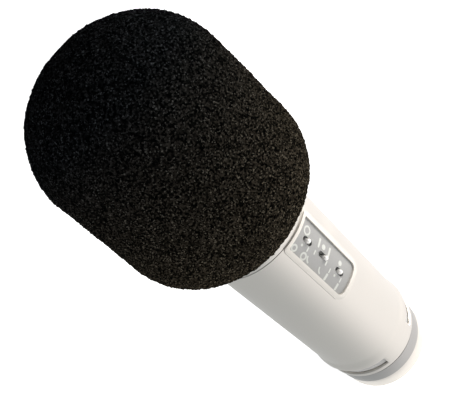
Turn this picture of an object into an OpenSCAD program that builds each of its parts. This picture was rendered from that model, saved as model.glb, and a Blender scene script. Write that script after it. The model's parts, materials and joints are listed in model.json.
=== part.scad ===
// Condenser sound pick-up with a foam windscreen, standing on the flat end of its body.
// The origin is the centre of the base face. +Z runs up the body to the foam, and -Y is the switch side.

/* [Body] */
// Outer diameter of the sleeve
body_d = 55; // [54.8:0.1:55.4]
// Thickness of the sleeve's wall
sleeve_wall = 2; // [1.8:0.1:2]
// Height of the sleeve's lower edge above the base
sleeve_z0 = 25.6; // [25.4:0.1:25.8]
// Height of the seam between the sleeve and the head
seam_z = 119.1; // [118.9:0.1:119.2]
// How far the bead stands out round the sleeve's lower edge
bead_rise = 0.8; // [0.5:0.1:1]
// Height of that bead
bead_h = 7; // [6:0.5:8]

/* [Head] */
// Height of the top of the wire grille
head_top = 211.9; // [210:0.1:212.6]
// Outer radius of the wire grille
grille_r = 26.5; // [26.4:0.1:26.6]
// Height of the nickel collar below the grille
collar_h = 5.1; // [5:0.1:5.3]
// Height of the capsule's centre
capsule_z = 170.9; // [169.6:0.1:172.6]
// Radius of the capsule's clamp rings
capsule_r = 17; // [16.8:0.1:17.2]

/* [Windscreen] */
// Height of the top of the foam
foam_top = 229.4; // [228:0.1:232]
// Widest radius of the foam, where its lower cap begins
foam_low_r = 45.4; // [42:0.1:48]
// Radius of the foam where its upper cap begins
foam_high_r = 43.4; // [40:0.1:46]
// Height of the foam's upper cap
foam_high_cap = 38.9; // [34:0.1:42]
// Height of the foam's lower cap, measured to the axis
foam_low_cap = 35.9; // [34:0.1:38]
// Height where the foam's lower curve would reach the axis
foam_pole = 115.8; // [115.3:0.1:116.6]

/* [Switch panel] */
// Width of the opening in the panel frame
panel_w = 16.6; // [16:0.1:17]
// Height of that opening
panel_h = 40.2; // [39.5:0.1:40.4]
// Distance from the seam down to the opening
panel_drop = 1.8; // [1.7:0.1:2]
// Radius of the opening's lower corners
panel_low_r = 2.6; // [2:0.1:4]
// Radius of the opening's upper corners
panel_high_r = 0.8; // [0.5:0.1:1.5]
// Width of the raised lip round the opening
lip_w = 2.3; // [2:0.1:2.6]
// How far the lip stands out of the sleeve
lip_rise = 0.6; // [0.3:0.1:0.7]
// Distance between two neighbouring lever positions
lever_step = 1.8; // [1.5:0.1:2]

/* [Tail] */
// Height of the end cap
cap_h = 8.2; // [8:0.1:8.4]
// Radius of the end cap
cap_r = 25.8; // [25.4:0.1:26]
// Height of the lock ring's lower edge
lock_z0 = 16.8; // [16.7:0.1:16.9]
// Height of the lock ring's upper face
lock_z1 = 19.8; // [19.6:0.1:20]
// How far the lock ring sinks when it is unscrewed by one turn
lock_travel = 1; // [0.8:0.1:1]
// Outer radius of the dark band below the lock ring
band_r = 26.3; // [26:0.1:26.6]
// Outer radius of the lock ring
lock_r = 27.2; // [26.9:0.1:27.4]
// Angle that the lock ring's raised tab spans, in degrees
tab_angle = 48; // [30:1:60]
// Turn of the tab's middle from the switch side, in degrees
tab_turn = -10; // [-20:1:20]
// Inner radius of the connector's socket
socket_r = 8.1; // [8:0.05:8.2]

/* [Hidden] */
$fn = 64;
// Body radii
body_r = body_d / 2;
bore_r = body_r - sleeve_wall;
// Play between pieces that stay put
play = 0.1;
// Oversize of a cutting shape past the face that it cuts
over = 1;
// Head
plug_h = 2.5;
seam_gap = 0.08;
collar_r = body_r - 0.2;
collar_z0 = seam_z + seam_gap;
collar_z1 = collar_z0 + collar_h;
collar_floor = collar_z0 + 2.4;
lead_hole_r = 7.5;
dome_z = head_top - grille_r;
grille_wall = 0.8;
inner_mesh_r = grille_r - 1;
inner_mesh_wall = 0.5;
hoop_r = inner_mesh_r - 0.55;
hoop_wall = 0.6;
hoop_w = 4;
screw_angles = [90, 210, 330];
cap_screw_angles = [30, 150, 270];
// Foam: its cavity clears the grille by foam_play and the collar by collar_play
foam_play = 0.3;
collar_play = 0.4;
foam_steps = 14;
// Capsule stack, measured along Y from its middle
body_half = 4;
ring_t = 2;
film_t = 0.12;
film_r = 14.6;
plate_r = 14;
screw_ring_r = capsule_r - 1.2;
clamp_count = 8;
ring_bore_r = 12.7;
film_recess = 0.2;
sound_hole_r = 0.6;
sound_hole_step = 5;
clamp_hole_r = 0.6;
clamp_shank_r = 0.5;
clamp_head = [0.95, 0.6];
// Saddle, post and platform
saddle_t = 2;
saddle_half = 3;
post_r = 3;
platform_r = 17;
platform_t = 3;
platform_z1 = collar_floor + platform_t;
platform_screw_r = 13;
saddle_foot = [10, 4.5];
saddle_z0 = capsule_z - capsule_r - play - saddle_t - 3;
saddle_drop = 5;
lead_r = 0.4;
lead_x = 3;
lead_y = 5;
// Switch panel
panel_z1 = seam_z - panel_drop;
panel_z0 = panel_z1 - panel_h;
plate_out = 27.2;
plate_in = 26.5;
row_z = [seam_z - 8.6, seam_z - 20.4, seam_z - 34];
// Where each lever rests, in steps from the middle of its slot
lever_rest = [0, -1, 0];
lever_r = 1.1;
lever_tip_y = -28.8;
slider = [3.8, 2, 3.4];
slider_y0 = -23.6;
lever_arc_steps = 6;
slot_w = 2.6;
slot_len = 2 * lever_step + 2 * lever_r + 0.4;
// Switch housings and their board
housing = [8, 4.6, 10];
housing_y0 = -25.1;
housing_y1 = housing_y0 + housing[1];
wall_y = 1.1;
board_t = 1.6;
link_pins = 8;
link_pitch = 2;
link_r = 0.32;
// Rails and main board
rail_x = 19;
rail_t = 3;
rail_w = 8;
rail_z0 = sleeve_z0 + 1;
rail_z1 = seam_z - plug_h;
rail_mid_x = rail_x + rail_t / 2;
rail_screw_z = rail_z0 + 3.5;
rail_screw_seat = 23.9;
board_groove = 1;
board_y = 2;
board_back = board_y + board_t;
board_z0 = sleeve_z0 + 13;
board_z1 = seam_z - 8;
// Parts on the main board. A stack of plates makes the transformer's core, with a coil between its yokes
core_w = 20;
core_depth = 12;
core_yoke = 5;
core_leg_w = 7;
coil_w = 16;
coil_h = 9;
core_z0 = board_z0 + 3;
core_h = 20;
can_large = [4, 11];
can_small = [3.2, 8];
film_cap = [12, 6, 7];
coupling_cap = [12, 7, 6];
resistor_r = 1.1;
resistor_w = 6;
resistor_pitch = 3.6;
transistor_r = 2.4;
transistor_h = 5;
// Screws
screw_r = 1;
tap_r = screw_r + 0.05;
head_r = 1.8;
head_h = 1.3;
// Tail
base_z0 = cap_h + 0.1;
base_neck_r = 23.2;
thread_r = 24.5;
thread_play = 0.06;
thread_z0 = lock_z0 - lock_travel - 0.3;
base_top = sleeve_z0 + 8;
base_floor = 13;
rail_pocket = 1.5;
base_screw_depth = 8;
cavity_r = 18.9;
connector_r = socket_r + 1.4;
connector_z1 = 17;
flange_r = 12.5;
flange_t = 1.5;
insert_z0 = 14.5;
insert_step_r = 6.8;
insert_z1 = 19;
cap_screw_r = 20.5;
head_sink = 0.3;
cap_edge = 0.9;
cap_bevel = 0.3;
cap_groove = [12, 18];
cap_face_t = 3;
tab_play = 0.15;
washer_t = 0.3;
pin_r = 1.18;
pin_ring_r = 4.4;
pin_z1 = 20.5;
pin_z0 = 1.9;
pin_angles = [90, 210, 330];
lead_wire_r = 0.35;
lead_pin_r = 0.45;

// A disc from height z0 to z1
module disc(r, z0, z1) {
  translate([0, 0, z0]) cylinder(r = r, h = z1 - z0);
}

// A tube from height z0 to z1
module tube(r_out, r_in, z0, z1) {
  difference() {
    disc(r_out, z0, z1);
    disc(r_in, z0 - over, z1 + over);
  }
}

// An outline drawn in X and Z, given depth from y0 to y1
module slab(y0, y1) {
  translate([0, y1, 0]) rotate([90, 0, 0]) linear_extrude(y1 - y0) children();
}

// A cylinder along Y, from y0 to y1, whose axis crosses X = x and Z = z
module rod_y(r, y0, y1, x = 0, z = 0) {
  translate([x, y1, z]) rotate([90, 0, 0]) cylinder(r = r, h = y1 - y0);
}

// A cylinder along X, from x0 to x1
module rod_x(r, x0, x1, y = 0, z = 0) {
  translate([x0, y, z]) rotate([0, 90, 0]) cylinder(r = r, h = x1 - x0);
}

// A box from one corner to the other
module block(low, high) {
  translate(low) cube(high - low);
}

// A screw that points down: its head stands on z = 0
module screw(length) {
  cylinder(r = head_r, h = head_h);
  translate([0, 0, -length]) cylinder(r = screw_r, h = length + head_h / 2);
}

// A hole that clears a screw's shank, x from the axis, from height z0 to z1
module screw_hole(x, z0, z1) {
  translate([x, 0, z0]) cylinder(r = screw_r + play, h = z1 - z0);
}

// Turns its children about the capsule's own axis, which runs along Y
module around_capsule(angle) {
  translate([0, 0, capsule_z]) rotate([0, angle, 0]) children();
}

// The closed shell of a tube with a round top, as the grille is shaped
module dome_shell(r, wall, z0) {
  rotate_extrude() difference() {
    dome_half(r, z0);
    dome_half(r - wall, z0 - over);
  }
}

// Half of a round-topped post's section, to the right of the axis
module dome_half(r, z0) {
  translate([0, z0]) square([r, dome_z - z0]);
  intersection() {
    translate([0, dome_z]) circle(r);
    translate([0, dome_z - over]) square([r + over, r + 2 * over]);
  }
}

// The opening of the switch panel, in X and Z, grown by g on every side
module panel_outline(g) {
  w = panel_w / 2 + g;
  z0 = panel_z0 - g;
  z1 = panel_z1 + g;
  low = panel_low_r + g;
  high = panel_high_r + g;
  translate([low - w, z0]) square([2 * (w - low), z1 - z0]);
  translate([-w, z0 + low]) square([2 * w, z1 - high - z0 - low]);
  translate([high - w, z1 - high]) square([2 * (w - high), high]);
  for (side = [-1, 1]) {
    translate([side * (w - low), z0 + low]) circle(low);
    translate([side * (w - high), z1 - high]) circle(high);
  }
}

// The upright slot that a lever moves in, grown by g on every side
module lever_slot(z, g = 0) {
  straight = slot_len - slot_w;
  translate([-slot_w / 2 - g, z - straight / 2]) square([slot_w + 2 * g, straight]);
  for (side = [-1, 1]) translate([0, z + side * straight / 2]) circle(slot_w / 2 + g);
}

// Foam: an egg-like form whose two caps are quarter ellipses
function cap_point(r, h, z, up, t) = [r * cos(t), z + up * h * sin(t)];
module windscreen() color([0.07, 0.07, 0.07]) {
  low_z = foam_pole + foam_low_cap;
  high_z = foam_top - foam_high_cap;
  step = 90 / foam_steps;
  low_cap = [for (i = [0 : foam_steps]) cap_point(foam_low_r, foam_low_cap, low_z, -1, 90 - i * step)];
  high_cap = [for (i = [0 : foam_steps]) cap_point(foam_high_r, foam_high_cap, high_z, 1, i * step)];
  difference() {
    rotate_extrude() polygon(concat(low_cap, high_cap));
    disc(collar_r + collar_play, foam_pole - over, collar_z1 + foam_play);
    rotate_extrude() dome_half(grille_r + foam_play, collar_z1);
  }
}

// Wire grille and the finer gauze inside it
module grille_outer() color([0.75, 0.73, 0.7]) {
  dome_shell(grille_r, grille_wall, collar_floor);
}
module grille_inner() color([0.55, 0.54, 0.52]) {
  dome_shell(inner_mesh_r, inner_mesh_wall, collar_floor);
}

// Hoop that holds both meshes in shape, from side to side over the top
module grille_hoop() color([0.7, 0.69, 0.66]) {
  intersection() {
    dome_shell(hoop_r, hoop_wall, collar_floor);
    block([-body_r, -hoop_w / 2, collar_z0], [body_r, hoop_w / 2, head_top]);
  }
}

// Collar that closes the sleeve and carries the head
module head_collar() color([0.8, 0.78, 0.75]) {
  difference() {
    union() {
      disc(bore_r - play, rail_z1, collar_z0 + play);
      disc(collar_r, collar_z0, collar_floor);
      tube(collar_r, grille_r + play / 2, collar_floor - play, collar_z1);
    }
    disc(lead_hole_r, rail_z1 - over, collar_floor + over);
    for (a = screw_angles) rotate(a) screw_hole(platform_screw_r, rail_z1 - over, collar_floor + over);
    for (side = [-1, 1]) screw_hole(side * rail_mid_x, rail_z1 - over, collar_floor + over);
  }
}

// Insulating floor of the head
module capsule_platform() color([0.12, 0.12, 0.13]) {
  difference() {
    disc(platform_r, collar_floor, platform_z1);
    for (a = screw_angles) rotate(a) screw_hole(platform_screw_r, collar_floor - over, platform_z1 + over);
    for (y = [-lead_y, lead_y]) translate([lead_x, y, 0])
      disc(lead_r + 0.2, collar_floor - over, platform_z1 + over);
  }
}
module platform_screws() color([0.6, 0.6, 0.62]) {
  for (a = screw_angles) rotate(a) translate([platform_screw_r, 0, platform_z1]) screw(7);
}

// Post and saddle that hold the capsule up on edge
module capsule_post() color([0.78, 0.77, 0.74]) {
  disc(post_r, platform_z1, saddle_z0);
  disc(post_r + 2, platform_z1, platform_z1 + 2);
}
module capsule_saddle() color([0.15, 0.15, 0.16]) {
  inner = capsule_r + play;
  foot = saddle_foot[0] / 2;
  difference() {
    union() {
      rod_y(inner + saddle_t, -saddle_half, saddle_half, 0, capsule_z);
      block([-foot, -saddle_half, saddle_z0], [foot, saddle_half, saddle_z0 + saddle_foot[1]]);
    }
    rod_y(inner, -saddle_half - over, saddle_half + over, 0, capsule_z);
    block([-body_r, -saddle_half - over, capsule_z - saddle_drop], [body_r, saddle_half + over, head_top]);
  }
}

// Capsule: insulating body, drilled back plate, one film and one clamp ring on each face
module capsule_body() color([0.85, 0.83, 0.76]) {
  difference() {
    rod_y(capsule_r, -body_half, body_half, 0, capsule_z);
    rod_y(plate_r + play, -body_half - over, body_half + over, 0, capsule_z);
    clamp_holes();
  }
}
module backplate() color([0.83, 0.66, 0.33]) {
  difference() {
    rod_y(plate_r, -body_half + play / 2, body_half - play / 2, 0, capsule_z);
    for (ring = [1, 2]) {
      for (i = [0 : 6 * ring - 1]) around_capsule(i * 60 / ring)
        rod_y(sound_hole_r, -body_half - over, body_half + over, sound_hole_step * ring);
    }
  }
}
module film(side) {
  translate([0, side * (body_half + film_t / 2), 0]) rod_y(film_r, -film_t / 2, film_t / 2, 0, capsule_z);
}
module front_diaphragm() color([0.93, 0.78, 0.42]) {
  film(-1);
}
module rear_diaphragm() color([0.93, 0.78, 0.42]) {
  film(1);
}
module clamp_holes() {
  reach = body_half + ring_t + over;
  for (i = [0.5 : clamp_count - 0.5])
    around_capsule(i * 360 / clamp_count) rod_y(clamp_hole_r, -reach, reach, screw_ring_r);
}
module clamp_ring(side) {
  y0 = side > 0 ? body_half : -body_half - ring_t;
  recess = side > 0 ? body_half : -body_half - film_recess;
  difference() {
    rod_y(capsule_r, y0, y0 + ring_t, 0, capsule_z);
    rod_y(ring_bore_r, y0 - over, y0 + ring_t + over, 0, capsule_z);
    rod_y(film_r + play, recess, recess + film_recess, 0, capsule_z);
    clamp_holes();
  }
}
module front_clamp_ring() color([0.86, 0.72, 0.4]) {
  clamp_ring(-1);
}
module rear_clamp_ring() color([0.86, 0.72, 0.4]) {
  clamp_ring(1);
}
module clamp_screws() color([0.7, 0.7, 0.68]) {
  face = body_half + ring_t;
  for (turn = [0, 180]) rotate(turn) {
    for (i = [0.5 : clamp_count - 0.5]) around_capsule(i * 360 / clamp_count) {
      rod_y(clamp_head[0], face, face + clamp_head[1], screw_ring_r);
      rod_y(clamp_shank_r, over, face + clamp_head[1] / 2, screw_ring_r);
    }
  }
}
module capsule_leads() color([0.75, 0.1, 0.1]) {
  top = capsule_z - sqrt(pow(capsule_r, 2) - pow(lead_x, 2)) - play;
  for (y = [-lead_y, lead_y]) translate([lead_x, y, 0]) disc(lead_r, collar_floor - 4, top);
}

// Sleeve: one turned tube with a bead at its lower edge and a window for the panel
module sleeve() color([0.83, 0.81, 0.78]) {
  bead_r = body_r + bead_rise;
  top_bevel = 0.15;
  bead_bevel = 0.4;
  fade_steps = 8;
  fade_h = bead_h * 0.7;
  fade = [for (i = [0 : fade_steps]) [body_r + bead_rise * (1 + cos(i * 180 / fade_steps)) / 2,
    sleeve_z0 + bead_h - fade_h * (1 - i / fade_steps)]];
  foot = [[bore_r, sleeve_z0], [bead_r - bead_bevel, sleeve_z0], [bead_r, sleeve_z0 + bead_bevel]];
  top = [[body_r, seam_z - top_bevel], [body_r - top_bevel, seam_z], [bore_r, seam_z]];
  difference() {
    rotate_extrude() polygon(concat(foot, fade, top));
    slab(-body_r - over, -10) panel_outline(1);
  }
}

// Raised frame set into the window, with a lip that lies on the sleeve
module panel_frame() color([0.85, 0.83, 0.8]) {
  lip_r = body_r + lip_rise;
  difference() {
    union() {
      intersection() {
        tube(lip_r, body_r + 0.02, panel_z0 - 10, seam_z - 0.2);
        slab(-body_r - 5, -10) panel_outline(lip_w);
      }
      intersection() {
        tube(body_r + 0.1, bore_r + play, panel_z0 - 10, seam_z);
        slab(-body_r - 5, -10) panel_outline(0.9);
      }
    }
    slab(-body_r - 6, -9) panel_outline(0);
  }
}

// Dark plate at the bottom of the recess, slotted for the levers
module switch_plate() color([0.44, 0.44, 0.44]) {
  difference() {
    intersection() {
      tube(plate_out, plate_in, panel_z0 - over, seam_z);
      slab(-body_r - 5, -10) panel_outline(-0.05);
    }
    for (z = row_z) slab(-body_r - 6, -9) lever_slot(z);
  }
}

// A lever: a stem with a rounded end on a block that slides inside its switch
module lever(row) {
  z = row_z[row] + lever_rest[row] * lever_step;
  stem = slider_y0 - lever_tip_y - lever_r;
  step = 90 / lever_arc_steps;
  arc = [for (i = [0 : lever_arc_steps]) [lever_r * cos(i * step), stem + lever_r * sin(i * step)]];
  outline = concat([[0, -over], [lever_r, -over]], arc);
  half = slider / 2;
  translate([0, slider_y0, z]) rotate([90, 0, 0]) rotate_extrude() polygon(outline);
  block([-half[0], slider_y0, z - half[2]], [half[0], slider_y0 + slider[1], z + half[2]]);
}
module pattern_lever() color([0.9, 0.9, 0.88]) {
  lever(0);
}
module filter_lever() color([0.9, 0.9, 0.88]) {
  lever(1);
}
module pad_lever() color([0.9, 0.9, 0.88]) {
  lever(2);
}

// A switch: a hollow housing that is open at its back, against the board
module switch_case(row) {
  z = row_z[row];
  room_z = slider[2] / 2 + lever_step + 0.4;
  room_x = slider[0] / 2 + 0.35;
  half = housing / 2;
  difference() {
    block([-half[0], housing_y0, z - half[2]], [half[0], housing_y1, z + half[2]]);
    block([-room_x, housing_y0 + wall_y, z - room_z], [room_x, housing_y1 + over, z + room_z]);
    slab(housing_y0 - over, housing_y0 + 2 * wall_y) lever_slot(z, 0.1);
  }
}
module pattern_switch() color([0.62, 0.62, 0.6]) {
  switch_case(0);
}
module filter_switch() color([0.62, 0.62, 0.6]) {
  switch_case(1);
}
module pad_switch() color([0.62, 0.62, 0.6]) {
  switch_case(2);
}

// Board behind the switches, and the row of pins that joins it to the main board
module switch_board() color([0.1, 0.35, 0.18]) {
  block([-9, housing_y1, panel_z0 + 1], [9, housing_y1 + board_t, row_z[0] + housing[2] / 2]);
}
module board_link() color([0.85, 0.7, 0.35]) {
  for (i = [0.5 - link_pins / 2 : link_pins / 2 - 0.5])
    rod_y(link_r, housing_y1 + board_t, board_y, i * link_pitch, panel_z0 + 3);
}

// Rails that join the base to the head, with a groove for the main board
module rail(side) {
  mirror([side < 0 ? 1 : 0, 0, 0]) difference() {
    block([rail_x, -rail_w / 2, rail_z0], [rail_x + rail_t, rail_w / 2, rail_z1]);
    block([rail_x - over, board_y - play, board_z0 - play],
      [rail_x + board_groove, board_back + play, board_z1 + play]);
    translate([rail_mid_x, 0, 0]) disc(tap_r, rail_z1 - 6, rail_z1 + over);
    rod_x(tap_r, rail_x - over, rail_x + rail_t + over, 0, rail_screw_z);
  }
}
module left_rail() color([0.62, 0.62, 0.64]) {
  rail(-1);
}
module right_rail() color([0.62, 0.62, 0.64]) {
  rail(1);
}
module rail_screws() color([0.6, 0.6, 0.62]) {
  for (side = [-1, 1]) {
    translate([side * rail_mid_x, 0, collar_floor]) screw(8);
    translate([side * rail_screw_seat, 0, rail_screw_z]) rotate([0, side * 90, 0]) screw(6);
  }
}

// Main board and what is soldered to it
module main_board() color([0.1, 0.35, 0.18]) {
  half_w = rail_x + board_groove - play;
  block([-half_w, board_y, board_z0], [half_w, board_back, board_z1]);
}
module output_transformer() color([0.5, 0.48, 0.42]) {
  core_z1 = core_z0 + core_h;
  mid_z = (core_z0 + core_z1) / 2;
  for (z = [core_z0, core_z1 - core_yoke])
    block([-core_w / 2, board_back, z], [core_w / 2, board_back + core_depth, z + core_yoke]);
  block([-core_leg_w / 2, board_back + 1, core_z0 + 1],
    [core_leg_w / 2, board_back + core_depth - 1, core_z1 - 1]);
  block([-coil_w / 2, board_back + 0.5, mid_z - coil_h / 2],
    [coil_w / 2, board_back + core_depth - 0.5, mid_z + coil_h / 2]);
}
module round_capacitors() color([0.12, 0.14, 0.3]) {
  large_z = core_z0 + core_h + 10;
  for (x = [-12, 0, 12]) rod_y(can_large[0], board_back, board_back + can_large[1], x, large_z);
  for (x = [-6, 6]) rod_y(can_small[0], board_back, board_back + can_small[1], x, large_z + 12);
}
module film_capacitors() color([0.75, 0.3, 0.12]) {
  for (z = [board_z0 + 7, board_z0 + 17])
    translate([-13, board_y - film_cap[1], z]) cube(film_cap);
  translate([3, board_y - coupling_cap[1], board_z0 + 27]) cube(coupling_cap);
}
module resistors() color([0.8, 0.7, 0.5]) {
  y = board_y - resistor_r;
  for (i = [0 : 5]) rod_x(resistor_r, 4, 4 + resistor_w, y, board_z0 + 3 + i * resistor_pitch);
  for (i = [0 : 3]) rod_x(resistor_r, -4 - resistor_w, -4, y, board_z1 - 21 + i * resistor_pitch);
}
module transistors() color([0.1, 0.1, 0.1]) {
  y = board_y - transistor_r;
  z = board_z1 - 16;
  for (x = [4, 10]) intersection() {
    translate([x, y, 0]) disc(transistor_r, z, z + transistor_h);
    block([x - 3, y - 3, z - over], [x + 3, y + 1.2, z + transistor_h + over]);
  }
}
module output_leads() color([0.7, 0.7, 0.2]) {
  for (a = pin_angles) rotate(a) translate([pin_ring_r, 0, 0]) disc(lead_pin_r, pin_z1, board_z0 + 2);
  for (side = [-1, 1])
    rod_y(lead_wire_r, -pin_ring_r / 2, board_y, side * pin_ring_r * cos(30), board_z0 + 1.4);
}

// Turned base: the connector stands in it, the lock ring runs on it, the rails enter it
module chassis_base() color([0.7, 0.69, 0.67]) {
  difference() {
    union() {
      disc(base_neck_r, base_z0, thread_z0 + 0.1);
      disc(thread_r, thread_z0, sleeve_z0 + 0.1);
      disc(bore_r - play, sleeve_z0, base_top);
    }
    disc(connector_r + play, base_z0 - over, base_floor + over);
    disc(cavity_r, base_floor, base_top + over);
    for (side = [0, 1]) mirror([side, 0, 0]) {
      block([cavity_r - rail_pocket, -rail_w / 2 - play, rail_z0],
        [rail_x + rail_t + play, rail_w / 2 + play, base_top + over]);
      rod_x(screw_r + play, rail_x, bore_r + over, 0, rail_screw_z);
      rod_x(head_r + play, rail_screw_seat, bore_r + over, 0, rail_screw_z);
    }
    for (a = cap_screw_angles) rotate(a) screw_hole(cap_screw_r, base_z0 - over, base_z0 + base_screw_depth);
  }
}

// Rubber ring that the lock ring squeezes against the sleeve
module seal_ring() color([0.34, 0.335, 0.33]) {
  tube(26.2, thread_r + play, lock_z1 + washer_t + play, sleeve_z0);
}
module thrust_washer() color([0.75, 0.75, 0.76]) {
  tube(25.9, thread_r + thread_play, lock_z1, lock_z1 + washer_t);
}
module lock_ring() color([0.78, 0.77, 0.75]) {
  tab_r = 26.5;
  bevel = 0.4;
  inner = thread_r + thread_play;
  rotate_extrude() polygon([[inner, lock_z0], [lock_r - bevel, lock_z0], [lock_r, lock_z0 + bevel],
    [lock_r, lock_z1 - bevel], [lock_r - bevel, lock_z1], [inner, lock_z1]]);
  tab_z1 = sleeve_z0 - tab_play;
  rotate(tab_turn - 90 - tab_angle / 2) rotate_extrude(angle = tab_angle)
    translate([tab_r, lock_z1 - bevel]) square([lock_r - tab_r, tab_z1 - lock_z1 + bevel]);
}
module groove_band() color([0.55, 0.54, 0.52]) {
  tube(band_r, base_neck_r + 0.05, base_z0, thread_z0);
}

// End cap: the face that the piece stands on
module end_cap() color([0.86, 0.84, 0.81]) {
  bore = connector_r + play;
  corner = cap_r - cap_edge;
  arc = [for (i = [0 : 6]) [corner + cap_edge * sin(i * 15), cap_edge * (1 - cos(i * 15))]];
  upper = [[cap_r, cap_h - cap_bevel], [cap_r - cap_bevel, cap_h], [bore, cap_h]];
  difference() {
    rotate_extrude() polygon(concat([[bore, 0]], arc, upper));
    tube(cap_groove[1], cap_groove[0], cap_face_t, cap_h + over);
    for (a = cap_screw_angles) rotate(a) translate([cap_screw_r, 0, 0]) {
      disc(head_r + play, -over, head_sink + head_h);
      disc(screw_r + play, -over, cap_h + over);
    }
  }
}
module cap_screws() color([0.6, 0.6, 0.62]) {
  for (a = cap_screw_angles)
    rotate(a) translate([cap_screw_r, 0, head_h + head_sink]) mirror([0, 0, 1]) screw(14);
}

// Three-pin connector in the middle of the base
module connector_shell() color([0.72, 0.71, 0.69]) {
  difference() {
    union() {
      disc(connector_r, 0.2, connector_z1);
      disc(flange_r, base_floor, base_floor + flange_t);
    }
    disc(socket_r, 0, connector_z1 + over);
  }
}
module connector_insert() color([0.1, 0.1, 0.1]) {
  difference() {
    union() {
      disc(socket_r - play / 2, insert_z0, connector_z1);
      disc(insert_step_r, connector_z1 - play, insert_z1);
    }
    for (a = pin_angles) rotate(a) translate([pin_ring_r, 0, 0])
      disc(pin_r + play / 5, insert_z0 - over, insert_z1 + over);
  }
}
module connector_pins() color([0.86, 0.8, 0.6]) {
  for (a = pin_angles) rotate(a) translate([pin_ring_r, 0, 0]) {
    disc(pin_r, pin_z0 + 0.5, pin_z1);
    disc(pin_r - 0.5, pin_z0, pin_z0 + 0.6);
  }
}

windscreen();
grille_outer();
grille_inner();
grille_hoop();
head_collar();
capsule_platform();
platform_screws();
capsule_post();
capsule_saddle();
capsule_body();
backplate();
front_diaphragm();
rear_diaphragm();
front_clamp_ring();
rear_clamp_ring();
clamp_screws();
capsule_leads();
sleeve();
panel_frame();
switch_plate();
pattern_lever();
filter_lever();
pad_lever();
pattern_switch();
filter_switch();
pad_switch();
switch_board();
board_link();
left_rail();
right_rail();
rail_screws();
main_board();
output_transformer();
round_capacitors();
film_capacitors();
resistors();
transistors();
output_leads();
chassis_base();
seal_ring();
thrust_washer();
lock_ring();
groove_band();
end_cap();
cap_screws();
connector_shell();
connector_insert();
connector_pins();
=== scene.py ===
# %% [markdown]
# # A microphone for sound level work, in its foam windscreen
#
# The object is a satin nickel tube that stands on end, with a big black foam ball pulled over its head, a
# small grey switch panel near the top of the tube and a stepped base. The CAD frame already holds every
# mechanical piece at its real size. This notebook adds what CAD is poor at: the open-cell foam, the woven
# wire under it, the printed marks and a finish for every surface.

# %% Load the frame
import json
import math

import bmesh
import bpy
import numpy as np
from mathutils import Matrix, Quaternion, Vector


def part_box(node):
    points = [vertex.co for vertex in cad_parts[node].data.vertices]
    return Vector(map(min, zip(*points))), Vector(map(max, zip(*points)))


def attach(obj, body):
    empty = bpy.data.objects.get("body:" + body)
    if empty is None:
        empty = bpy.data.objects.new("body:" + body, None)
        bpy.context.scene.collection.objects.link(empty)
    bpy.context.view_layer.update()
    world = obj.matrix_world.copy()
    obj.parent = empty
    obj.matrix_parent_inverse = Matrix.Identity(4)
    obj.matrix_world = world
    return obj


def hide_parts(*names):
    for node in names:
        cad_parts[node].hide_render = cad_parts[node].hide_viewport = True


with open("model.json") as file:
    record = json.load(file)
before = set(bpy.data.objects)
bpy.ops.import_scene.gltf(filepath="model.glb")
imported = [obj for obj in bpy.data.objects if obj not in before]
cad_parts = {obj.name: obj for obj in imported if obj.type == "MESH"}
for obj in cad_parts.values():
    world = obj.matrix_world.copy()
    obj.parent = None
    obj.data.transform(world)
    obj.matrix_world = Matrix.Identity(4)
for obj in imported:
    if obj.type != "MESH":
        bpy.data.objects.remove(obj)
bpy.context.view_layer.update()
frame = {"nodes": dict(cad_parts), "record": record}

MM = 0.001

# %% [markdown]
# Heights and radii come from the frame, never from a guess. Naming them here keeps the later cells free
# of bare numbers.

# %% Read the places that later cells need
SEAM_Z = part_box("sleeve")[1].z
COLLAR_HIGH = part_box("head_collar")[1]
COLLAR_R = COLLAR_HIGH.x
GRILLE_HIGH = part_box("grille_outer")[1]
GRILLE_R = GRILLE_HIGH.x
DOME_Z = GRILLE_HIGH.z - GRILLE_R
FOAM_LOW, FOAM_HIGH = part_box("windscreen")
FOAM_R = (FOAM_HIGH.x - FOAM_LOW.x) / 2
PLATE_R = -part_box("switch_plate")[0].y
print("seam at", round(SEAM_Z * 1000, 1), "mm, foam radius", round(FOAM_R * 1000, 1), "mm")

# %% [markdown]
# ## Camera
#
# The view looks down on the foam from close by, so the foam is large and the tail falls away. A camera is
# set by where it stands, how far it tips down and how far it is rolled about its own line of sight. Building
# the turn as one quaternion after another keeps those three choices apart, which a list of Euler angles
# doesn't. The close distance matters: it is what makes the tube seem to taper. The lens and the sensor are
# in millimetres, as on a real camera.

# %% Set the camera
CAMERA_BEARING = math.radians(-90 - 24)
CAMERA_REACH = 0.1880
CAMERA_RISE = 0.1281
CAMERA_TILT = math.radians(29.85)
CAMERA_SWING = math.radians(-0.17)
CAMERA_ROLL = math.radians(47.76)
LENS = 39.8
SENSOR_WIDTH = 36
NEAREST_SEEN = 5 * MM


def set_camera():
    across = Vector((math.cos(CAMERA_BEARING), math.sin(CAMERA_BEARING), 0))
    heading = Matrix.Rotation(CAMERA_SWING, 3, "Z") @ -across
    sight = heading * math.cos(CAMERA_TILT) - Vector((0, 0, math.sin(CAMERA_TILT)))
    data = bpy.data.cameras.new("camera")
    data.lens = LENS
    data.sensor_width = SENSOR_WIDTH
    data.clip_start = NEAREST_SEEN
    camera = bpy.data.objects.new("camera", data)
    bpy.context.scene.collection.objects.link(camera)
    camera.rotation_mode = "QUATERNION"
    camera.location = across * CAMERA_REACH + Vector((0, 0, SEAM_Z + CAMERA_RISE))
    camera.rotation_quaternion = sight.to_track_quat("-Z", "Y") @ Quaternion((0, 0, 1), -CAMERA_ROLL)
    bpy.context.scene.camera = camera
    return camera


camera = set_camera()
print("camera at", [round(v * 1000) for v in camera.location], "mm")

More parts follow.
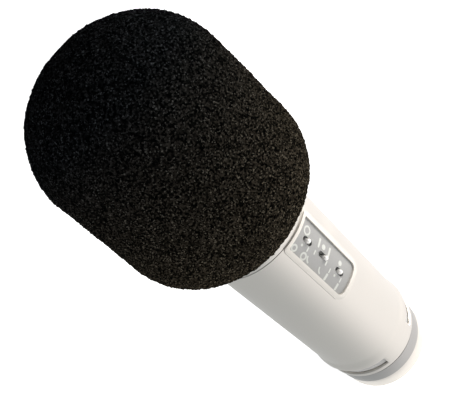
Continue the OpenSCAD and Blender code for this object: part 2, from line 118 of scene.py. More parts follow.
# %% [markdown]
# ## Floor
#
# The background is plain white paper: a wide disc whose rim curls up, so that no horizon shows. A vertical
# tube seen from above mirrors what lies below it, and paper all round would wash it out. So the paper is in
# two pieces: the small disc close to the foot shows in the metal, as it does on the end cap, and the rest is
# hidden from mirror rays only.

# %% Lay the paper
NEAR_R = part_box("end_cap")[1].x + 4 * MM
PAPER_R = 5.0
PAPER_RISE = 4.0
PAPER_GLOW = 0.72
PAPER_SIDES = 96
CURL_STEPS = 8
CURL_FIRST = 5
CURL_MORE = 11


def new_object(name, mesh):
    piece = bpy.data.objects.new(name, mesh)
    bpy.context.scene.collection.objects.link(piece)
    return piece


def from_bmesh(name, bm):
    mesh = bpy.data.meshes.new(name)
    bm.to_mesh(mesh)
    bm.free()
    return new_object(name, mesh)


def on_paper(name, bm, in_mirrors):
    piece = from_bmesh(name, bm)
    piece.visible_glossy = in_mirrors
    for face in piece.data.polygons:
        face.use_smooth = True
    return piece


def push_rim(bm, rim, climb, reach):
    grown = bmesh.ops.extrude_edge_only(bm, edges=rim)["geom"]
    rim = [edge for edge in grown if isinstance(edge, bmesh.types.BMEdge)]
    for vert in {v for edge in rim for v in edge.verts}:
        out = Vector((vert.co.x, vert.co.y, 0)).normalized()
        vert.co += (out * math.cos(climb) + Vector((0, 0, math.sin(climb)))) * reach
    return rim


def make_paper():
    near = bmesh.new()
    bmesh.ops.create_circle(near, cap_ends=True, segments=PAPER_SIDES, radius=NEAR_R)
    far = bmesh.new()
    bmesh.ops.create_circle(far, cap_ends=False, segments=PAPER_SIDES, radius=NEAR_R)
    rim = push_rim(far, far.edges[:], 0, PAPER_R)
    for step in range(CURL_STEPS):
        climb = math.radians(CURL_FIRST + step * CURL_MORE)
        rim = push_rim(far, rim, climb, PAPER_RISE / CURL_STEPS)
    return [on_paper("paper_near", near, True), on_paper("paper_far", far, False)]


def paper_material():
    material = bpy.data.materials.new("white_paper")
    material.use_nodes = True
    bsdf = material.node_tree.nodes["Principled BSDF"]
    bsdf.inputs["Base Color"].default_value = (0.93, 0.93, 0.93, 1)
    bsdf.inputs["Roughness"].default_value = 0.9
    bsdf.inputs["Specular IOR Level"].default_value = 0.1
    bsdf.inputs["Emission Color"].default_value = (1, 1, 1, 1)
    bsdf.inputs["Emission Strength"].default_value = PAPER_GLOW
    return material


WHITE_PAPER = paper_material()
PAPER = make_paper()
for sheet in PAPER:
    sheet.data.materials.append(WHITE_PAPER)
print("paper in", len(PAPER), "pieces, the near one", round(NEAR_R * 1000, 1), "mm in radius")

# %% [markdown]
# ## Room light
#
# Satin metal shows the room and not its own colour, so the room is what gives the tube its form. The world
# is dim and a little cool on one side, white on the other and dimmer overhead. It fades between them by the
# direction that a ray leaves in: the dot product with an axis says how far the ray points that way. A warm
# key lamp stands low at the right, and a weak wide one hangs over the head.

# %% Light the room
SIDE_FADE = (-0.75, 0.45)
CEILING_FADE = (-0.1, 0.3)


def area_lamp(name, place, target, size, power, colour=(1, 1, 1)):
    data = bpy.data.lights.new(name, "AREA")
    data.shape = "DISK"
    data.size = size
    data.energy = power
    data.color = colour
    lamp = bpy.data.objects.new(name, data)
    bpy.context.scene.collection.objects.link(lamp)
    lamp.location = place
    lamp.rotation_mode = "QUATERNION"
    lamp.rotation_quaternion = (Vector(target) - Vector(place)).to_track_quat("-Z", "Y")
    return lamp


def light_room(bright_bearing, dim, bright, ceiling):
    world = bpy.data.worlds.new("room")
    world.use_nodes = True
    nodes, links = world.node_tree.nodes, world.node_tree.links
    direction = nodes.new("ShaderNodeTexCoord").outputs["Generated"]

    def fade_toward(axis, limits, values):
        toward = nodes.new("ShaderNodeVectorMath")
        toward.operation = "DOT_PRODUCT"
        toward.inputs[1].default_value = axis
        links.new(direction, toward.inputs[0])
        fade = nodes.new("ShaderNodeMapRange")
        fade.interpolation_type = "SMOOTHSTEP"
        for name, value in zip(("From Min", "From Max", "To Min", "To Max"), (*limits, *values)):
            fade.inputs[name].default_value = value
        links.new(toward.outputs["Value"], fade.inputs["Value"])
        return fade.outputs["Result"]

    side = fade_toward((math.cos(bright_bearing), math.sin(bright_bearing), 0), SIDE_FADE, (0, 1))
    overhead = fade_toward((0, 0, 1), CEILING_FADE, (1, ceiling))
    mix = nodes.new("ShaderNodeMix")
    mix.data_type = "RGBA"
    mix.inputs["A"].default_value = (*dim, 1)
    mix.inputs["B"].default_value = (*bright, 1)
    links.new(side, mix.inputs["Factor"])
    links.new(mix.outputs["Result"], nodes["Background"].inputs["Color"])
    links.new(overhead, nodes["Background"].inputs["Strength"])
    bpy.context.scene.world = world


AIM = (0, 0, 0.12)
area_lamp("key", place=(1.05, -0.60, 0.28), target=AIM, size=0.5, power=15, colour=(1.0, 0.95, 0.89))
area_lamp("top", place=(0.4, 0.1, 1.7), target=AIM, size=1.4, power=1.2)
light_room(math.radians(-27), dim=(0.53, 0.55, 0.56), bright=(1.20, 1.18, 1.18), ceiling=0.42)
bpy.context.scene.view_settings.view_transform = "Standard"
print("lamps:", [(lamp.name, round(lamp.energy, 1)) for lamp in bpy.data.lights])

# %% [markdown]
# ## Helpers for finishes
#
# Every finish starts from one Principled shader. A small helper adds it, a second one adds noise that is
# read from Object coordinates, which are metres in the part's own frame, so a grain of 0.3 mm is a scale of
# a few thousand. Grain goes into the roughness and a bump: that is what a satin surface really is. Noise
# seldom leaves the span from 0.3 to 0.7, so `spread` stretches that span over the values that are wanted.

# %% Start a finish
def shader(name, colour, metallic=0.0, roughness=0.5):
    material = bpy.data.materials.new(name)
    material.use_nodes = True
    bsdf = material.node_tree.nodes["Principled BSDF"]
    bsdf.inputs["Base Color"].default_value = (*colour, 1)
    bsdf.inputs["Metallic"].default_value = metallic
    bsdf.inputs["Roughness"].default_value = roughness
    return material, bsdf


def node(material, kind, **inputs):
    made = material.node_tree.nodes.new(kind)
    for name, value in inputs.items():
        made.inputs[name].default_value = value
    return made


def link(material, source, output, target, name):
    material.node_tree.links.new(source.outputs[output], target.inputs[name])


def object_noise(material, size, detail=3.0, stretch=(1, 1, 1)):
    coordinates = node(material, "ShaderNodeTexCoord")
    mapping = node(material, "ShaderNodeMapping", Scale=stretch)
    noise = node(material, "ShaderNodeTexNoise", Scale=1 / size, Detail=detail)
    link(material, coordinates, "Object", mapping, "Vector")
    link(material, mapping, "Vector", noise, "Vector")
    return noise


def spread(material, source, output, low, high, from_low=0.3, from_high=0.7):
    limits = {"From Min": from_low, "From Max": from_high, "To Min": low, "To Max": high}
    ramp = node(material, "ShaderNodeMapRange", **limits)
    link(material, source, output, ramp, "Value")
    return ramp


def two_tone(material, source, output, dark, light):
    mix = material.node_tree.nodes.new("ShaderNodeMix")
    mix.data_type = "RGBA"
    mix.inputs["A"].default_value = (*dark, 1)
    mix.inputs["B"].default_value = (*light, 1)
    link(material, source, output, mix, "Factor")
    return mix


def bump(material, bsdf, source, output, strength, depth):
    made = node(material, "ShaderNodeBump", Strength=strength, Distance=depth)
    link(material, source, output, made, "Height")
    link(material, made, "Normal", bsdf, "Normal")


# %% [markdown]
# ## Nickel, steel, wire and brass
#
# Satin nickel plate is blasted with fine beads before plating: tiny dents, no direction. Turned steel keeps
# the fine rings of the lathe, so its noise is squeezed along the axis and left long round it. Both are fully
# metallic, and only roughness, a little tone and a shallow bump vary. The matt nickel is for the panel's
# rim, which is duller than the tube: it is only a third metallic, so that it scatters light as well as
# mirroring it. Grain and depth are given in millimetres here and for the plastics.

# %% Make the metals
BLOTCH = 18 * MM
LATHE = (1, 1, 14)


def satin_metal(name, colour, roughness, grain, depth, stretch=(1, 1, 1), metallic=1.0, tone=0.06):
    material, bsdf = shader(name, colour, metallic, roughness)
    fine = object_noise(material, grain * MM, 2.0, stretch)
    broad = object_noise(material, BLOTCH)
    rough = spread(material, broad, "Fac", roughness - 0.04, roughness + 0.05)
    link(material, rough, "Result", bsdf, "Roughness")
    shade = two_tone(material, broad, "Fac", [c * (1 - tone) for c in colour], colour)
    link(material, shade, "Result", bsdf, "Base Color")
    bump(material, bsdf, fine, "Fac", 0.35, depth * MM)
    return material


SATIN_NICKEL = satin_metal("satin_nickel", (0.80, 0.765, 0.71), 0.34, 0.35, 0.010)
MATT_NICKEL = satin_metal("matt_nickel", (0.70, 0.67, 0.62), 0.45, 0.35, 0.010, metallic=0.35)
TURNED_STEEL = satin_metal("turned_steel", (0.60, 0.59, 0.575), 0.30, 0.5, 0.012, LATHE)
# painted shade: a darker steel for the band down in the groove, standing for the shade there
GROOVE_SHADE_STEEL = satin_metal("groove_steel_painted_shade", (0.50, 0.49, 0.475), 0.38, 0.5, 0.012, LATHE)
MESH_WIRE = satin_metal("mesh_wire", (0.78, 0.75, 0.69), 0.30, 0.2, 0.006)
BRASS = satin_metal("turned_brass", (0.80, 0.60, 0.28), 0.26, 0.4, 0.008)
GOLD_FILM = satin_metal("gold_film", (0.95, 0.74, 0.36), 0.16, 3.0, 0.004)
METALS = (SATIN_NICKEL, MATT_NICKEL, TURNED_STEEL, GROOVE_SHADE_STEEL, MESH_WIRE, BRASS, GOLD_FILM)
print("metals:", ", ".join(metal.name for metal in METALS))

# %% [markdown]
# ## Lacquer, plastic, rubber, boards and components
#
# These are all dielectrics: no metal, a colour, and a roughness that says moulded, painted or rubbed. Each
# gets a fine grain of its own scale, because a perfectly even surface is what makes a render look like one.
# The record names a material slot for every node, so one table from slot to finish covers them all. Only
# the foam isn't in it, and the band in the groove gets a darker steel, which is painted shade for the groove.

# %% Make the paints, plastics and rubbers
def grained(name, dark, light, roughness, grain, depth, coat=0.0):
    material, bsdf = shader(name, light, 0.0, roughness)
    fine = object_noise(material, grain * MM, 4.0)
    shade = two_tone(material, fine, "Fac", dark, light)
    link(material, shade, "Result", bsdf, "Base Color")
    rough = spread(material, fine, "Fac", roughness - 0.05, roughness + 0.08)
    link(material, rough, "Result", bsdf, "Roughness")
    bsdf.inputs["Coat Weight"].default_value = coat
    bump(material, bsdf, fine, "Fac", 0.4, depth * MM)
    return material


PANEL_LACQUER = grained("panel_lacquer", (0.26, 0.26, 0.255), (0.33, 0.33, 0.325), 0.5, 0.3, 0.02)
PRINT_WHITE = grained("print_white", (0.46, 0.47, 0.445), (0.57, 0.58, 0.55), 0.5, 0.4, 0.01)
LEVER_WHITE = grained("lever_white", (0.88, 0.87, 0.84), (0.96, 0.95, 0.93), 0.22, 1.0, 0.005, 0.3)
BLACK_PLASTIC = grained("black_plastic", (0.02, 0.02, 0.022), (0.045, 0.045, 0.048), 0.45, 0.5, 0.02)
GREY_PLASTIC = grained("grey_plastic", (0.60, 0.60, 0.58), (0.70, 0.70, 0.68), 0.5, 0.5, 0.02)
SEAL_RUBBER = grained("seal_rubber", (0.38, 0.38, 0.37), (0.46, 0.455, 0.445), 0.6, 0.8, 0.03)
BOARD_GREEN = grained("board_green", (0.015, 0.10, 0.05), (0.03, 0.18, 0.09), 0.3, 1.5, 0.02, 0.3)
SLEEVE_BLUE = grained("sleeved_blue", (0.03, 0.05, 0.18), (0.06, 0.10, 0.30), 0.3, 2.0, 0.01)
DIPPED_RED = grained("dipped_red", (0.38, 0.07, 0.03), (0.60, 0.14, 0.06), 0.28, 2.0, 0.02, 0.3)
RESISTOR_TAN = grained("resistor_tan", (0.55, 0.43, 0.28), (0.75, 0.62, 0.44), 0.4, 1.0, 0.02)
CORE_GREY = grained("core_grey", (0.14, 0.13, 0.12), (0.26, 0.24, 0.22), 0.55, 1.0, 0.05)
WIRE_RED = grained("wire_red", (0.45, 0.03, 0.02), (0.65, 0.06, 0.04), 0.4, 1.0, 0.01)

FINISHES = {
    "satin_nickel": SATIN_NICKEL, "turned_steel": TURNED_STEEL, "wire_mesh": MESH_WIRE,
    "brass": BRASS, "gold_film": GOLD_FILM, "dark_plate": PANEL_LACQUER, "lever_white": LEVER_WHITE,
    "black_plastic": BLACK_PLASTIC, "grey_plastic": GREY_PLASTIC, "rubber": SEAL_RUBBER,
    "circuit_board": BOARD_GREEN, "component_blue": SLEEVE_BLUE, "component_red": DIPPED_RED,
    "resistor_tan": RESISTOR_TAN, "transformer": CORE_GREY, "wire_cover": WIRE_RED,
}


def finish(piece, material):
    piece.data.materials.clear()
    piece.data.materials.append(material)


SLOTS = {part["node"]: part["material_slot"] for part in frame["record"]["subparts"]}
for node_name, slot_name in SLOTS.items():
    if slot_name in FINISHES:
        finish(frame["nodes"][node_name], FINISHES[slot_name])
# painted shade: the groove band is darkened for the shade in the groove
finish(frame["nodes"]["groove_band"], GROOVE_SHADE_STEEL)
print("nodes with no finish yet:", [name for name, slot_name in SLOTS.items() if slot_name not in FINISHES])

# %% [markdown]
# ## The foam windscreen
#
# Windscreen foam is a sponge of open cells, a bit under a millimetre across, moulded or ground to an egg
# shape. Three ways to make it: paint it on (flat outline, wrong), scatter struts (millions of faces), or
# start from an even ball of small triangles, lay it on the foam's outline inside and out, and push each
# point in where a cell is open. The third gives a rough outline and a real surface, and the cavity comes
# with it, because a blind hole in a ball is still one closed skin. The top and the bottom are each a quarter
# of a superellipse, whose power says how square the shoulder is. The crown is drawn a little below the top
# of the foam's CAD solid, so that the rough surface has room.

# %% The outline of the foam, from the top, round the lip and up the cavity
HIGH_POWER = 2.08
LOW_POWER = 2.18
CROWN_DROP = 0.75 * MM
FOAM_TOP_R = FOAM_R - 2.0 * MM
HIGH_CAP = 38.9 * MM
LOW_CAP = 35.9 * MM
LOW_POLE = SEAM_Z - 2.95 * MM
MOUTH_R = COLLAR_R + 0.4 * MM
CAVITY_R = GRILLE_R + 0.3 * MM
LIP = 1.4 * MM
LIP_SAG = LIP * 0.1
CAVITY_STEP = 0.5 * MM
CAVITY_FLARE = 1.0 * MM
OUTLINE_STEPS = 60
LIP_STEPS = 6
OFF_AXIS = 1e-4


def cap(radius, height, centre_z, up, angles, roundness):
    power = 2 / roundness
    return [(radius * math.cos(t) ** power, centre_z + up * height * math.sin(t) ** power) for t in angles]


def foam_outline():
    quarter = np.linspace(math.pi / 2 - OFF_AXIS, 0, OUTLINE_STEPS)
    high = cap(FOAM_TOP_R, HIGH_CAP, FOAM_HIGH.z - CROWN_DROP - HIGH_CAP, 1, quarter, HIGH_POWER)
    low = cap(FOAM_R, LOW_CAP, LOW_POLE + LOW_CAP, -1, quarter[::-1], LOW_POWER)
    low = [p for p in low if p[0] > MOUTH_R + LIP]
    mouth_z = low[-1][1]
    turn = np.linspace(0, math.pi / 2, LIP_STEPS)
    lip = [(MOUTH_R + LIP * (1 - math.sin(t)), mouth_z + LIP * (1 - math.cos(t)) - LIP_SAG) for t in turn]
    step_z = COLLAR_HIGH.z + CAVITY_STEP
    inner = [(MOUTH_R, step_z), (CAVITY_R, step_z + CAVITY_FLARE), (CAVITY_R, DOME_Z)]
    dome = [(CAVITY_R * math.cos(t), DOME_Z + CAVITY_R * math.sin(t)) for t in quarter[::-1]]
    return np.array(high + low + lip + inner + dome)


outline = foam_outline()
print("foam outline of", len(outline), "points, lip at", round(float(outline[:, 1].min()) * 1000, 1), "mm")

# %% [markdown]
# Each point of the ball has a height between 1 and -1. The same share of the ball's area and of the foam's
# area lies above a matching pair of points, so matching shares keeps the triangles even all the way. The
# cavity is hardly seen, so it is given less than its share, and more triangles go to the outside.

# %% Lay an even ball of triangles on the outline
CAVITY_SHARE = 0.3
BALL_LEVEL = 7
READINGS = 4000


def even_ball(name, cuts):
    bm = bmesh.new()
    bmesh.ops.create_icosphere(bm, subdivisions=BALL_LEVEL, radius=1.0)
    bmesh.ops.subdivide_edges(bm, edges=bm.edges[:], cuts=cuts, use_grid_fill=True)
    return from_bmesh(name, bm)


def lay_on_outline(ball, points):
    mesh = ball.data
    co = np.empty(len(mesh.vertices) * 3)
    mesh.vertices.foreach_get("co", co)
    co = co.reshape(-1, 3)
    co /= np.linalg.norm(co, axis=1)[:, None]
    steps = np.linalg.norm(np.diff(points, axis=0), axis=1)
    length = np.concatenate([[0], np.cumsum(steps)])
    fine = np.linspace(0, length[-1], READINGS)
    r = np.interp(fine, length, points[:, 0])
    z = np.interp(fine, length, points[:, 1])
    share = np.where(fine[1:] < fine[np.argmin(z)], 1.0, CAVITY_SHARE)
    area = np.concatenate([[0], np.cumsum(share * (r[1:] + r[:-1]) / 2)])
    place = np.interp((1 - co[:, 2]) / 2, area / area[-1], fine)
    angle = np.arctan2(co[:, 1], co[:, 0])
    radius = np.interp(place, fine, r)
    co = np.stack([radius * np.cos(angle), radius * np.sin(angle), np.interp(place, fine, z)], 1)
    mesh.vertices.foreach_set("co", co.ravel())
    mesh.update()


foam = even_ball("foam_windscreen", 1)
lay_on_outline(foam, outline)
print("foam has", len(foam.data.polygons), "triangles")

# %% [markdown]
# The cells are a Voronoi pattern: each point of space belongs to its nearest seed, and the walls between
# seeds are the struts. Pushing the skin in towards the middle of each cell leaves the struts proud. A second,
# softer noise breaks the egg's perfect curve, as a ground block of foam has.

# %% Open the cells and apply the push
UNEVEN_SIZE = 14 * MM
UNEVEN_DEPTH = 0.9 * MM
CELL_SIZE = 0.9 * MM
CELL_DEPTH = 1.2 * MM
CELL_MIDDLE = 0.6


def cell_texture(name, size):
    texture = bpy.data.textures.new(name, "VORONOI")
    texture.noise_scale = size
    texture.distance_metric = "DISTANCE"
    texture.weight_1 = 1.0
    texture.intensity = 1.0
    return texture


def soft_texture(name, size):
    texture = bpy.data.textures.new(name, "CLOUDS")
    texture.noise_scale = size
    texture.noise_depth = 2
    return texture


def push(piece, texture, strength, middle):
    modifier = piece.modifiers.new(texture.name, "DISPLACE")
    modifier.texture = texture
    modifier.texture_coords = "LOCAL"
    modifier.strength = strength
    modifier.mid_level = middle


def apply_modifiers(piece):
    bpy.context.view_layer.objects.active = piece
    piece.select_set(True)
    bpy.ops.object.convert(target="MESH")
    piece.select_set(False)


push(foam, soft_texture("foam_unevenness", UNEVEN_SIZE), UNEVEN_DEPTH, 0.5)
push(foam, cell_texture("foam_cells", CELL_SIZE), CELL_DEPTH, CELL_MIDDLE)
apply_modifiers(foam)
for face in foam.data.polygons:
    face.use_smooth = True
size = [round((max(c) - min(c)) * 1000, 1) for c in zip(*[v.co for v in foam.data.vertices])]
print("foam measures", size, "mm")

# %% [markdown]
# ## The foam's colour
#
# Carbon-black foam is nearly black, yet it is never even: each strut faces its own way, so some cells stay
# dark and others catch a little light. Each cell of a Voronoi pattern carries a random number. Raised to a
# power, it makes many dark cells and few pale ones. About one cell in ten gets a painted glint, a highlight
# added to its colour. The foam is also painted paler and warmer toward its mouth and darker and cooler toward
# its crown, as painted light below and painted shade on top: the height fades that in.

# %% Finish the foam
FOAM_DARK = (0.0006, 0.0007, 0.0008)
FOAM_LIGHT = (0.030, 0.0275, 0.0235)
# painted highlight: the colour added to the few glinting cells
PAINTED_GLINT_COLOUR = (0.066, 0.063, 0.056)
# painted shade and painted light: the crown is tinted darker and cooler, the mouth paler and warmer
SHADED_CROWN_TINT = (0.31, 0.36, 0.45)
LIT_MOUTH_TINT = (1.62, 1.44, 1.14)
PAINTED_LIGHT_ENDS_Z = FOAM_HIGH.z - 20 * MM
STRUT_SIZE = 0.6 * MM
STRUT_RELIEF = 0.2 * MM
GLINT_SIZE = 0.42 * MM
CONTRAST = 2.5
GLINT_STARTS, GLINT_FULL = 0.90, 0.99


def foam_material():
    material, bsdf = shader("black_foam", (0.01, 0.01, 0.01), 0.0, 0.6)
    coordinates = node(material, "ShaderNodeTexCoord")

    def per_cell(size):
        cells = node(material, "ShaderNodeTexVoronoi", Scale=1 / size)
        link(material, coordinates, "Object", cells, "Vector")
        split = material.node_tree.nodes.new("ShaderNodeSeparateColor")
        link(material, cells, "Color", split, "Color")
        return cells, split

    struts, lot = per_cell(STRUT_SIZE)
    chance = per_cell(GLINT_SIZE)[1]
    uneven = node(material, "ShaderNodeMath")
    uneven.operation = "POWER"
    uneven.inputs[1].default_value = CONTRAST
    link(material, lot, "Red", uneven, 0)
    shade = two_tone(material, uneven, "Value", FOAM_DARK, FOAM_LIGHT)
    # painted glints: the brightest few cells get a highlight added to their colour
    chosen = spread(material, chance, "Red", 0.0, 1.0, GLINT_STARTS, GLINT_FULL)
    painted_glint = two_tone(material, chosen, "Result", (0, 0, 0), PAINTED_GLINT_COLOUR)
    add = material.node_tree.nodes.new("ShaderNodeMix")
    add.data_type = "RGBA"
    add.blend_type = "ADD"
    add.inputs["Factor"].default_value = 1.0
    link(material, shade, "Result", add, "A")
    link(material, painted_glint, "Result", add, "B")
    split = material.node_tree.nodes.new("ShaderNodeSeparateXYZ")
    link(material, coordinates, "Object", split, "Vector")
    # painted light and shade by height: paler and warmer toward the mouth, darker toward the crown
    height = spread(material, split, "Z", 0.0, 1.0, SEAM_Z, PAINTED_LIGHT_ENDS_Z)
    painted_light_tint = two_tone(material, height, "Result", LIT_MOUTH_TINT, SHADED_CROWN_TINT)
    painted_light_colour = material.node_tree.nodes.new("ShaderNodeVectorMath")
    painted_light_colour.operation = "MULTIPLY"
    link(material, add, "Result", painted_light_colour, 0)
    link(material, painted_light_tint, "Result", painted_light_colour, 1)
    link(material, painted_light_colour, "Vector", bsdf, "Base Color")
    bsdf.inputs["Specular IOR Level"].default_value = 0.0
    bump(material, bsdf, struts, "Distance", 0.5, STRUT_RELIEF)
    return material


finish(foam, foam_material())
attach(foam, "windscreen")
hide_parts("windscreen")
print("foam finish has", len(foam.data.materials[0].node_tree.nodes), "nodes")

# %% [markdown]
# ## Softened edges
#
# The CAD frame has perfect edges, and a turned and plated part never has: each edge is broken by a fraction
# of a millimetre and catches a thin line of light. A CAD mesh is loose triangles and may not be changed, so
# the copy is merged, its flat faces are joined again, and only the edges that really turn are bevelled. The
# copy then stands for the CAD node. The panel's rim is then given the matt nickel.

# %% Copy a CAD node and break its edges
SHARP = math.radians(28)
FLAT = math.radians(0.5)
MERGE = 0.002 * MM


def merged_copy(node_name):
    bm = bmesh.new()
    bm.from_mesh(frame["nodes"][node_name].data)
    bmesh.ops.remove_doubles(bm, verts=bm.verts, dist=MERGE)
    bmesh.ops.dissolve_limit(bm, angle_limit=FLAT, verts=bm.verts, edges=bm.edges)
    return bm


def soften(node_name, name, width, body, slot):
    bm = merged_copy(node_name)
    sharp = [edge for edge in bm.edges if edge.is_manifold and edge.calc_face_angle(0) > SHARP]
    bmesh.ops.bevel(bm, geom=sharp, offset=width, offset_type="OFFSET", segments=3, profile=0.5,
                    affect="EDGES", clamp_overlap=True, material=-1)
    piece = from_bmesh(name, bm)
    piece.data.shade_smooth()
    piece.data.set_sharp_from_angle(angle=SHARP)
    finish(piece, FINISHES[slot])
    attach(piece, body)
    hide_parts(node_name)
    print(name, "has", len(piece.data.polygons), "faces,", len(sharp), "edges were broken")
    return piece


rim = soften("panel_frame", "panel_rim", 0.3 * MM, "root", "satin_nickel")
finish(rim, MATT_NICKEL)
soften("lock_ring", "lock_ring_soft", 0.15 * MM, "lock_ring", "satin_nickel")

# %% [markdown]
# ## Printed marks
#
# The marks beside the levers are printed ink, 0.05 mm proud. Rings stand for the pick-up patterns, arcs for
# the low cut and bars for the level pad, with short leaders to the levers' stops. They are plain signs with
# no letters. An image would do, but it isn't sharp close up, so each mark is a sliver of geometry: drawn
# flat with bmesh operators, thickened, and then bent on to the curve of the plate.

# %% Helpers that draw a flat stroke in its place
STROKE = 0.75 * MM
PRINT_SHIFT = -0.6 * MM
RING_STEPS = 36
ARC_STEPS = 14
FACE_PANEL = Matrix.Rotation(math.radians(90), 4, "X")


def at_mark(x, drop, turn=0.0):
    place = Matrix.Translation((PRINT_SHIFT + x * MM, 0, SEAM_Z - drop * MM))
    return place @ FACE_PANEL @ Matrix.Rotation(math.radians(turn), 4, "Z")


def add_flat(bm, part, place):
    bmesh.ops.transform(part, matrix=place, verts=part.verts)
    mesh = bpy.data.meshes.new("part")
    part.to_mesh(mesh)
    part.free()
    bm.from_mesh(mesh)
    bpy.data.meshes.remove(mesh)


def swept(bm, x, drop, radius, width, start, sweep):
    part = bmesh.new()
    ends = [part.verts.new((radius + side * width / 2, 0, 0)) for side in (-1, 1)]
    part.edges.new(ends)
    whole = abs(sweep - 360) < 1
    bmesh.ops.spin(part, geom=part.verts[:] + part.edges[:], cent=(0, 0, 0), axis=(0, 0, 1),
                   angle=math.radians(sweep), steps=RING_STEPS if whole else ARC_STEPS, use_merge=whole)
    add_flat(bm, part, at_mark(x, drop, start))


def bar(bm, x, drop, length, width, tilt):
    part = bmesh.new()
    bmesh.ops.create_grid(part, x_segments=8, y_segments=1, size=0.5)
    bmesh.ops.scale(part, vec=(length * MM, width, 1), verts=part.verts)
    corners = [vert for vert in part.verts if len(vert.link_edges) == 2]
    bmesh.ops.bevel(part, geom=corners, offset=width * 0.3, segments=3, profile=0.5,
                    affect="VERTICES", material=-1)
    add_flat(bm, part, at_mark(x, drop, tilt))


def dot(bm, x, drop, radius):
    part = bmesh.new()
    bmesh.ops.create_circle(part, cap_ends=True, cap_tris=True, segments=24, radius=radius * MM)
    add_flat(bm, part, at_mark(x, drop))


print("strokes are", round(STROKE * 1000, 2), "mm wide on a plate of radius", round(PLATE_R * 1000, 1), "mm")

# %% [markdown]
# Each mark is placed by its distance from the middle of the print and its drop below the seam, both in
# millimetres. The print sits a little to the left of the levers. Marks of one kind share a loop, and the
# bars lean by a few degrees. The slots of the levers are left clear, so a lever never meets ink.

# %% Draw the marks and bend them on to the plate
INK = 0.05 * MM
BOLD = STROKE * 1.7
LEAN = 4
ARC_R = 2.6 * MM


def bend_to_plate(bm, radius):
    for vert in bm.verts:
        angle = vert.co.x / radius
        reach = radius - vert.co.y
        vert.co.x = reach * math.sin(angle)
        vert.co.y = -reach * math.cos(angle)


def printed_marks():
    bm = bmesh.new()
    for x, drop, radius in ((-5.7, 4.2, 1.35), (-5.7, 10.9, 1.45), (4.2, 6.0, 1.8)):
        swept(bm, x, drop, radius * MM, STROKE * 1.1, start=0, sweep=360)
    for drop in (15.6, 24.6):
        swept(bm, -3.9, drop, ARC_R, STROKE, start=95, sweep=75)
    for drop in (15.5, 23.3):
        bar(bm, 4.15, drop, 4.4, BOLD, LEAN)
    for drop in (28.2, 36.9):
        bar(bm, -5.6, drop, 3.4, BOLD, LEAN)
    for drop in (18.9, 32.4):
        dot(bm, 4.0, drop, 1.25)
    for x, drop in ((-2.5, 6.9), (-2.4, 32.2)):
        dot(bm, x, drop, 0.6)
    for x, drop in ((-2.2, 10.9), (-0.9, 15.2), (-0.9, 24.2), (-2.3, 28.2), (-2.1, 36.9)):
        bar(bm, x, drop, 2.2, STROKE, LEAN)
    bmesh.ops.solidify(bm, geom=bm.faces[:], thickness=INK)
    bend_to_plate(bm, PLATE_R + INK)
    bmesh.ops.recalc_face_normals(bm, faces=bm.faces)
    return from_bmesh("panel_marks", bm)


marks = printed_marks()
finish(marks, PRINT_WHITE)
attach(marks, "root")
print("marks stand", round((-min(v.co.y for v in marks.data.vertices) - PLATE_R) * 1000, 3), "mm proud")

# %% [markdown]
# ## The wire grille
#
# Under the foam the head is woven wire: upright wires and rings that pass over and under each other, closed
# by a dome of crossed wires. A pattern in a material would look flat as soon as the foam is pulled off, so
# the wires are real. Each is a curve with a round bevel. The weave is one sine: the wire steps out over one
# neighbour and in under the next, and its neighbour does the opposite.

# %% Weave the sides
WIRE_R = 0.28 * MM
WEAVE = 0.26 * MM
PITCH = 2.4 * MM
WEAVE_R = GRILLE_R - WIRE_R - WEAVE


def wire_set(name, wires, closed):
    data = bpy.data.curves.new(name, "CURVE")
    data.dimensions = "3D"
    data.bevel_depth = WIRE_R
    data.bevel_resolution = 0
    data.use_fill_caps = True
    for points in wires:
        spline = data.splines.new("POLY")
        spline.points.add(len(points) - 1)
        spline.points.foreach_set("co", np.column_stack([points, np.ones(len(points))]).ravel())
        spline.use_cyclic_u = closed
        spline.use_smooth = True
    return new_object(name, data)


def side_wires():
    count = 2 * round(math.pi * WEAVE_R / PITCH)
    rings = round((DOME_Z - COLLAR_HIGH.z) / PITCH)
    pitch_z = (DOME_Z - COLLAR_HIGH.z) / rings
    steps = np.arange(0, rings * 2 + 1)
    z = COLLAR_HIGH.z + steps * pitch_z / 2
    uprights = []
    for i in range(count):
        angle = 2 * math.pi * i / count
        r = WEAVE_R + WEAVE * np.sin(math.pi * (steps / 2 + i + 0.5))
        uprights.append(np.column_stack([r * math.cos(angle), r * math.sin(angle), z]))
    around = np.arange(0, count * 2)
    angle = 2 * math.pi * around / (count * 2)
    hoops = []
    for k in range(1, rings):
        r = WEAVE_R - WEAVE * np.sin(math.pi * (around / 2 + k + 0.5))
        level = np.full(len(r), COLLAR_HIGH.z + k * pitch_z)
        hoops.append(np.column_stack([r * np.cos(angle), r * np.sin(angle), level]))
    return uprights, hoops


uprights, hoops = side_wires()
wire_pieces = [wire_set("grille_uprights", uprights, False), wire_set("grille_hoops", hoops, True)]
print(len(uprights), "uprights and", len(hoops), "hoops")

# %% [markdown]
# The dome is a flat square weave pressed over a ball. A wire's place on the flat cloth is read as an angle
# from the pole, which keeps the mesh even near the top, as it is on a pressed dome. Behind all the wires
# lies a fine gauze. It is kept as its CAD shell and gets a dull dark finish, so that the wires stand out.

# %% Weave the dome and finish the grille
FEWEST_STEPS = 4


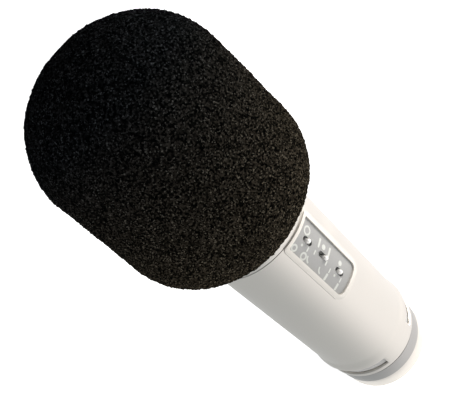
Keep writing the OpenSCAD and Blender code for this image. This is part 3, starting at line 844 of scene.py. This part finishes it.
def dome_wires():
    reach = math.pi / 2
    lines = round(2 * reach * WEAVE_R / PITCH)
    wires = []
    for turn in (0, 1):
        for i in range(lines + 1):
            a = -reach + 2 * reach * i / lines
            half = math.sqrt(max(reach * reach - a * a, 0))
            steps = max(int(2 * half * WEAVE_R / PITCH * 2), FEWEST_STEPS)
            b = np.linspace(-half, half, steps + 1)
            from_pole = np.sqrt(a * a + b * b)
            ratio = np.sinc(from_pole / math.pi)
            lift = WEAVE * np.sin(math.pi * (b / (2 * reach / lines) + i + turn + 0.5))
            r = WEAVE_R + lift
            x, y = r * ratio * a, r * ratio * b
            if turn:
                x, y = y, x
            wires.append(np.column_stack([x, y, DOME_Z + r * np.cos(from_pole)]))
    return wires


wire_pieces.append(wire_set("grille_dome", dome_wires(), False))
GAUZE = satin_metal("gauze", (0.34, 0.33, 0.31), 0.5, 0.15, 0.03)
finish(frame["nodes"]["grille_inner"], GAUZE)
for piece in wire_pieces:
    apply_modifiers(piece)
    finish(piece, MESH_WIRE)
    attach(piece, "root")
    print(piece.name, "has", sum(len(face.vertices) - 2 for face in piece.data.polygons), "triangles")

# %% [markdown]
# The dome's crossed wires and the sides' wires meet under a flat band, soldered on, which also stiffens the
# mouth of the dome. A lathe shape is one short profile spun about the axis.

# %% Spin the band round the foot of the dome
BAND_W = 3.2 * MM
BAND_T = 0.35 * MM
BAND_INSET = 0.02 * MM


def spin_band():
    bm = bmesh.new()
    low, high = DOME_Z - BAND_W / 2, DOME_Z + BAND_W / 2
    inner, outer = GRILLE_R - BAND_T, GRILLE_R - BAND_INSET
    profile = [bm.verts.new((r, 0, z)) for r, z in ((inner, low), (outer, low), (outer, high), (inner, high))]
    for first, second in zip(profile, profile[1:] + profile[:1]):
        bm.edges.new((first, second))
    bmesh.ops.spin(bm, geom=bm.verts[:] + bm.edges[:], cent=(0, 0, 0), axis=(0, 0, 1), angle=math.tau,
                   steps=128, use_merge=True)
    bmesh.ops.remove_doubles(bm, verts=bm.verts, dist=MERGE)
    bmesh.ops.recalc_face_normals(bm, faces=bm.faces)
    return from_bmesh("grille_band", bm)


band = spin_band()
band.data.shade_smooth()
band.data.set_sharp_from_angle(angle=SHARP)
finish(band, TURNED_STEEL)
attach(band, "root")
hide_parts("grille_outer")
print("band spans", round(BAND_W * 1000, 1), "mm")
